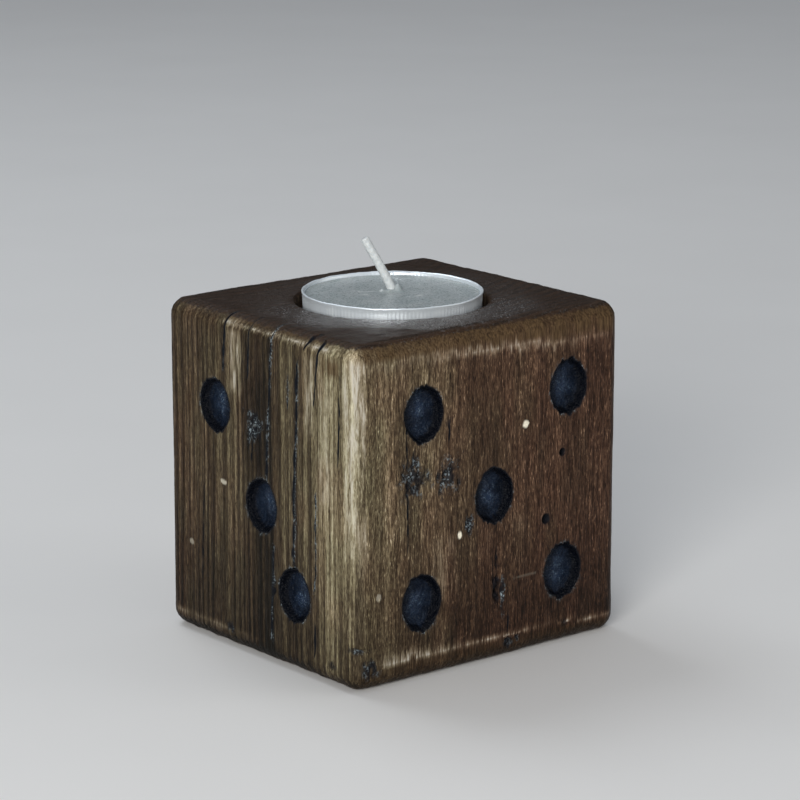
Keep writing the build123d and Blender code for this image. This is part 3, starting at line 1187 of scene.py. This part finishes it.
def timber_block():
    skins = []
    sheets = [(side_sheet, side_looks), (top_sheet, top_looks), (under_sheet, under_looks)]
    for make_sheet, make_looks in sheets:
        places, triangles = make_sheet()
        skins.append((make_looks(*places.T), triangles.tolist()))
    skins.append(bore_skin())
    points, faces = joined([(looks.finished_points(), skin_faces) for looks, skin_faces in skins])
    values = {key: np.concatenate([looks.values[key] for looks, _ in skins]) for key in skins[0][0].values}
    piece("timber_block", points, faces, timber_material(), "die_block", "wood_block", values)


def paint_dish(sheet, centre, seed):
    """One pip's paint as a thin closed dish, and how much each point belongs to the dish's floor."""
    angle, rings = pip_rings(seed)
    steps = len(angle)
    lap = rings[2] + 0.12  # onto the wood round the rim
    front = [lap, *rings[3:]]
    back = [lap, *rings[3:8:2], rings[8], rings[-1]]
    places, _ = around(centre, angle, front + back)
    looks = (side_looks if sheet == "sides" else under_looks)(*places.T)

    across, up = (places - centre).T
    inward = np.tile(pip_rim(angle, seed), len(front) + len(back)) - np.hypot(across, up)
    lumps = 0.09 * flat_noise(across, up, (0.75, 0.75), seed + 11)
    lumps = lumps + 0.07 * flat_noise(across, up, (1.7, 1.7), seed)
    coat = 0.03 + 0.20 * ease(inward, -0.1, 0.5) + lumps * ease(inward, 0.1, 0.8)
    first_behind = len(front) * steps
    coat[:steps] = -0.03
    coat[first_behind:] = -0.05
    looks.depth -= coat

    faces = grid_faces(len(front), steps) + [ring_face(len(front) - 1, steps)]
    behind = grid_faces(len(back), steps, flip=True) + [ring_face(len(back) - 1, steps, flip=True)]
    faces += [[first_behind + i for i in face] for face in behind]
    faces += [[(i + 1) % steps, i, first_behind + i, first_behind + (i + 1) % steps] for i in range(steps)]
    return looks.finished_points(), faces, 0.35 * ease(inward, 0.7, 1.3) + 0.65 * ease(inward, 1.8, 4.8)


def pip_paint(node, material):
    dishes = [paint_dish(sheet, centre, seed) for name, sheet, centre, seed in PIPS if name == node]
    points, faces = joined([dish[:2] for dish in dishes])
    # The floor mask gives the paint its painted shade on the wall and its painted sheen on the floor.
    values = {"floor": np.concatenate([floor for _, _, floor in dishes])}
    piece("paint_" + node, points, faces, material, "die_block", node, values)


def turned(profile, steps, shape=None):
    """Rings of points about the Z axis from (radius, height) pairs; shape may change the radii."""
    profile = np.array(profile)
    angle = circle(steps)
    radius = np.repeat(profile[:, :1], steps, axis=1)
    height = np.repeat(profile[:, 1:], steps, axis=1)
    if shape:
        radius, height = shape(radius, height, angle)
    return np.stack([radius * np.cos(angle), radius * np.sin(angle), height], axis=-1).reshape(-1, 3)


def capped_grid(rows, columns):
    """The faces of a closed shape made of rings of points."""
    caps = [ring_face(0, columns, flip=True), ring_face(rows - 1, columns)]
    return grid_faces(rows, columns) + caps


def arc(middle, radius, start, end, steps):
    """Points on an arc, with its angles in degrees."""
    angle = np.radians(np.linspace(start, end, steps))
    return [(middle[0] + radius * np.cos(a), middle[1] + radius * np.sin(a)) for a in angle]


def sloping_wall(foot, base, slope, heights):
    """(radius, height) pairs up a wall that widens from the radius of its foot."""
    return [(foot + slope * (z - base), z) for z in heights]


# The rings pressed into the cup's floor: radius and how far it is pushed up.
EMBOSSED = [
    (0.3, 0), (3, 0), (5.6, 0), (6.0, 0.12), (6.6, 0.12), (7, 0),
    (10, 0), (13.0, 0), (13.4, 0.15), (14.2, 0.15), (14.6, 0), (15.6, 0),
]


def cup_profile():
    """From the middle of the cup's underside, up its wall, over its rolled edge and back down inside."""
    wall_top = CUP_RIM_RADIUS - 2 * CUP_BEAD + CUP_SKIN
    heights = np.linspace(CUP_BASE + CUP_CORNER, CUP_TOP - 0.5, 16)
    outer_slope = (CUP_RIM_RADIUS - 0.2 - CUP_FLOOR_RADIUS) / (CUP_TOP - CUP_BASE)
    inner_slope = (wall_top - CUP_FLOOR_RADIUS) / (CUP_TOP - CUP_BEAD - CUP_BASE)
    middle = (CUP_FLOOR_RADIUS - CUP_CORNER, CUP_BASE + CUP_CORNER)
    floor = [(radius, CUP_BASE + rise) for radius, rise in EMBOSSED]
    outside = sloping_wall(CUP_FLOOR_RADIUS, CUP_BASE, outer_slope, heights)
    edge = arc((CUP_RIM_RADIUS - 0.22, CUP_TOP - 0.2), 0.2, -10, 110, 7)
    edge += [(wall_top + 0.02, CUP_TOP - 0.10), (wall_top - 0.14, CUP_TOP - 0.25)]
    inside = sloping_wall(CUP_FLOOR_RADIUS - CUP_SKIN, CUP_BASE, inner_slope, heights[::-1])
    inside += arc(middle, CUP_CORNER - CUP_SKIN, -8, -80, 7)
    inside += [(radius, height + CUP_SKIN) for radius, height in floor[::-1]]
    return floor + arc(middle, CUP_CORNER, -80, -8, 7) + outside + edge + inside


def fluted(radius, height, angle):
    """The cup's wall pressed into flutes, and its edge a little dented."""
    uneven = 1 + 0.5 * line_noise(angle * 9, 1, 71)
    flute = (0.5 + 0.5 * np.cos(angle * FLUTES)) * uneven
    on_wall = between(height, CUP_BASE + 1.6, CUP_BASE + 5, CUP_TOP - 0.55, CUP_TOP - 0.3)
    dents = 0.06 * line_noise(angle * 6, 1, 72) + 0.03 * line_noise(angle * 25, 1, 73)
    return radius + on_wall * 0.07 * flute, height + dents * ease(height, CUP_TOP - 1.2, CUP_TOP - 0.3)


def fluted_cup():
    profile, steps = cup_profile(), FLUTES * FLUTE_STEPS
    points, faces = turned(profile, steps, fluted), capped_grid(len(profile), steps)
    piece("fluted_cup", points, faces, aluminium_material(), "cup", "tealight_cup")


RIGHTWARD = np.array([0.777, -0.629])  # to the right of the wick, as seen from the front left corner

# Scratches in the wax, as seen from there: start and end, to the right of and beyond the wick.
SCRATCHES = [((-11.0, -0.6), (-3.0, -1.0)), ((-6.4, -4.6), (-3.4, -2.4)), ((2.5, -6.0), (6.5, -4.2))]


def beside_wick(x, y):
    """How far places on the wax are to the right of the wick and beyond it."""
    across, up = x - WICK_FOOT[0], y - WICK_FOOT[1]
    return across * RIGHTWARD[0] + up * RIGHTWARD[1], -across * RIGHTWARD[1] + up * RIGHTWARD[0]


def scratched(x, y):
    """How much of a scratch there is at each place, from 0 to 1."""
    beside, beyond = beside_wick(x, y)
    total = 0
    for number, (start, end) in enumerate(SCRATCHES):
        run = np.subtract(end, start)
        length = np.hypot(*run)
        right, on = beside - start[0], beyond - start[1]
        part = (right * run[0] + on * run[1]) / length**2
        wander = 0.35 * flat_noise(beside, beyond, (1.6, 1.6), 83 + number)
        off = (right * run[1] - on * run[0]) / length + wander
        total = total + hump(off, 0.3) * between(part, 0, 0.2, 0.8, 1)
    return total


def wax_surface(x, y):
    """The height of the wax: drawn up at the cup and at the wick, run down beside it, faintly scratched."""
    beside, beyond = beside_wick(x, y)
    height = WAX_TOP + 0.35 * ease(np.hypot(x, y), WAX_RADIUS - 1.3, WAX_RADIUS) ** 2
    height = height + 0.75 * hump(np.hypot(beside, beyond), 1.45)
    height = height + 1.15 * hump(beside - 1.25, 0.75) * hump(beyond, 0.8)
    height = height + 0.45 * hump(beside + 2.1, 0.42) * hump(beyond + 0.2, 0.42)
    height = height + 0.10 * flat_noise(x, y, (7, 7), 81) + 0.04 * flat_noise(x, y, (1.4, 1.4), 82)
    return height - 0.06 * scratched(x, y)


def wax_profile():
    """From the rim of the wax down its side and in along its base."""
    foot = CUP_FLOOR_RADIUS - CUP_SKIN - 0.05
    slope = (WAX_RADIUS - foot) / (WAX_TOP - WAX_BASE)
    side = sloping_wall(foot, WAX_BASE, slope, np.linspace(WAX_TOP - 0.3, WAX_BASE + 2, 9))
    corner = arc((foot - 1.6, WAX_BASE + 1.65), 1.65, 0, -90, 7)
    return [(WAX_RADIUS, WAX_TOP), *side, *corner, (12, WAX_BASE), (7, WAX_BASE), (2, WAX_BASE)]


def wax_rim(radius, height, angle):
    height[0] = wax_surface(WAX_RADIUS * np.cos(angle), WAX_RADIUS * np.sin(angle))
    return radius, height


def wax_fill():
    steps = 180
    sheet = Sheet(brick_points((-WAX_RADIUS,) * 2, (WAX_RADIUS,) * 2, (0.42, 0.36)))
    sheet.clear(np.hypot(*sheet.points.T) > WAX_RADIUS - 1.2)
    sheet.add(*around((0, 0), circle(steps), [WAX_RADIUS - part for part in (0, 0.2, 0.5, 0.9)]))
    add_patch(sheet, WICK_FOOT + 0.2 * RIGHTWARD, (6.4, 5.4), 0.17)
    places, top_faces = sheet.triangles(1)
    top = np.stack([*places.T, wax_surface(*places.T)], axis=-1)
    profile = wax_profile()
    side = turned(profile, steps, wax_rim)
    side_faces = grid_faces(len(profile), steps, flip=True) + [ring_face(len(profile) - 1, steps, flip=True)]
    points, faces = joined([(top, top_faces.tolist()), (side, side_faces)])
    scuff = 0.9 * scratched(*places.T) * ease(flat_noise(*places.T, (0.8, 0.8), 88), -0.5, 0.5)
    values = {"scuff": np.concatenate([scuff, np.zeros(len(side))])}
    piece("wax_fill", points, faces, wax_material(), "candle", "wax", values)


def tube(route, steps, radius):
    """A closed tube along a route; radius(place along it, angle) gives its shape."""
    ahead = np.gradient(route, axis=0)
    ahead /= np.linalg.norm(ahead, axis=1)[:, None]
    side = np.cross(ahead, np.array([0.2, 1.0, 0.1]))
    side /= np.linalg.norm(side, axis=1)[:, None]
    other = np.cross(ahead, side)
    angle = circle(steps)[None, :, None]
    run = np.concatenate([[0], np.cumsum(np.linalg.norm(np.diff(route, axis=0), axis=1))])
    reach = radius(run[:, None, None], angle)
    points = route[:, None] + reach * (np.cos(angle) * side[:, None] + np.sin(angle) * other[:, None])
    return points.reshape(-1, 3), capped_grid(len(route), steps)


def wick_route():
    """Straight up through the wax, then over in a curve to its tip."""
    bend = np.array([*WICK_FOOT, WAX_TOP + 1.0])
    straight = np.array([[*WICK_FOOT, z] for z in np.linspace(WAX_BASE, bend[2] - 0.9, 40)])
    part = np.linspace(0, 1, 110)[:, None]
    leaning = (1 - part) ** 2 * straight[-1] + 2 * part * (1 - part) * (bend + 0.10 * WICK_LEAN)
    leaning = leaning + part**2 * (bend + 1.05 * WICK_LEAN)
    return np.concatenate([straight, leaning[1:]])


def braided_wick():
    """Cotton in a tight flat braid, soaked in wax, leaning over where it leaves the candle."""
    route = wick_route()
    length = np.linalg.norm(np.diff(route, axis=0), axis=1).sum()

    def radius(run, angle):
        braid = np.maximum(np.cos(3 * angle + 4.2 * run), np.cos(3 * angle - 4.2 * run))
        fuzz = 0.02 * np.sin(13 * angle + 9 * run) * np.sin(5 * run + 2 * angle)
        end = 1 - 0.25 * ease(run, length - 0.2, length) ** 2
        return WICK_RADIUS * (1.0 + 0.05 * braid + fuzz - 0.03 * np.cos(2 * angle)) * end

    points, faces = tube(route, 36, radius)
    piece("braided_wick", points, faces, wick_material(), "candle", "wick")


# The wick's foot, a ribbed disc drawn up into a neck: radius and height.
FOOT_PROFILE = [
    (1.0, 0.0), (2.4, 0.0), (3.6, 0.0), (3.9, 0.05), (4.5, 0.05), (4.8, 0.0), (6.2, 0.0), (6.5, 0.05),
    (6.5, 0.2), (6.3, 0.25), (4.8, 0.25), (4.5, 0.34), (3.9, 0.34), (3.6, 0.25), (2.2, 0.25), (1.7, 0.4),
    (1.42, 0.75), (1.38, 1.6), (1.25, 1.9), (1.25, 2.3), (1.38, 2.6), (1.40, 3.35), (1.32, 3.5), (1.05, 3.5),
    (0.95, 3.3),
]


def crimped(radius, height, angle):
    return radius + 0.05 * np.cos(4 * angle) * between(height, 1.7, 1.9, 2.3, 2.6), height


def wick_foot():
    steps = 64
    points = turned(FOOT_PROFILE, steps, crimped) + (*WICK_FOOT, WAX_BASE)
    faces = grid_faces(len(FOOT_PROFILE), steps, closed=True)
    piece("wick_foot", points, faces, steel_material(), "candle", "wick_sustainer")


# --- floor, light and camera ---


def pale_floor():
    s = Shader("pale_floor")
    colour = s.mix(s.noise(60.0, 2.0), (0.84, 0.83, 0.815), (0.88, 0.87, 0.855))
    half = 4.0
    corners = [(-half, -half, 0), (half, -half, 0), (half, half, 0), (-half, half, 0)]
    mesh = bpy.data.meshes.new("floor")
    mesh.from_pydata(corners, [], [(0, 1, 2, 3)])
    mesh.materials.append(s.finish(Base_Color=colour, Roughness=0.55))
    placed("floor", mesh)


def soft_light(name, place, size, watts, colour):
    """A round light, aimed at the middle of the block."""
    light = bpy.data.lights.new(name, "AREA")
    light.shape = "DISK"
    light.size = size
    light.energy = watts
    light.color = colour
    lamp = placed(name, light)
    lamp.location = place
    aim = Vector((0, 0, HEIGHT * MM / 2)) - Vector(place)
    lamp.rotation_euler = aim.to_track_quat("-Z", "Y").to_euler()


def studio():
    soft_light("window", (-0.86, -0.66, 0.36), 0.50, 10.5, (1.0, 0.99, 0.97))
    soft_light("sky", (-0.05, 0.60, 0.90), 0.60, 2.8, (0.90, 0.95, 1.0))
    soft_light("bounce", (0.80, -0.75, 0.35), 0.80, 1.8, (1.0, 0.95, 0.9))
    bpy.context.scene.world = room_light()


def room_light():
    """A dim room under a bright ceiling."""
    world = bpy.data.worlds.new("room")
    world.use_nodes = True
    nodes, links = world.node_tree.nodes, world.node_tree.links
    height = nodes.new("ShaderNodeSeparateXYZ")
    links.new(nodes.new("ShaderNodeTexCoord").outputs["Generated"], height.inputs[0])
    ceiling = nodes.new("ShaderNodeMapRange")
    for name, value in {"From Min": 0.25, "From Max": 0.80, "To Min": 0.04, "To Max": 0.40}.items():
        ceiling.inputs[name].default_value = value
    links.new(height.outputs["Z"], ceiling.inputs["Value"])
    nodes["Background"].inputs["Color"].default_value = (0.88, 0.93, 1.0, 1)
    links.new(ceiling.outputs["Result"], nodes["Background"].inputs["Strength"])
    return world


def camera():
    data = bpy.data.cameras.new("camera")
    data.lens = 150.9
    data.sensor_width = 36.0
    eye = placed("camera", data)
    eye.location = (-0.4240, -0.5263, 0.2177)
    eye.rotation_euler = Vector((0.6104, 0.7541, -0.2423)).to_track_quat("-Z", "Y").to_euler()
    bpy.context.scene.camera = eye


bpy.context.scene.view_settings.view_transform = "Standard"
camera()
studio()
pale_floor()
timber_block()
black = pip_paint_material()
for pips_node in ("pips_two", "pips_three", "pips_four", "pips_five", "pips_six"):
    pip_paint(pips_node, black)
fluted_cup()
wax_fill()
braided_wick()
wick_foot()
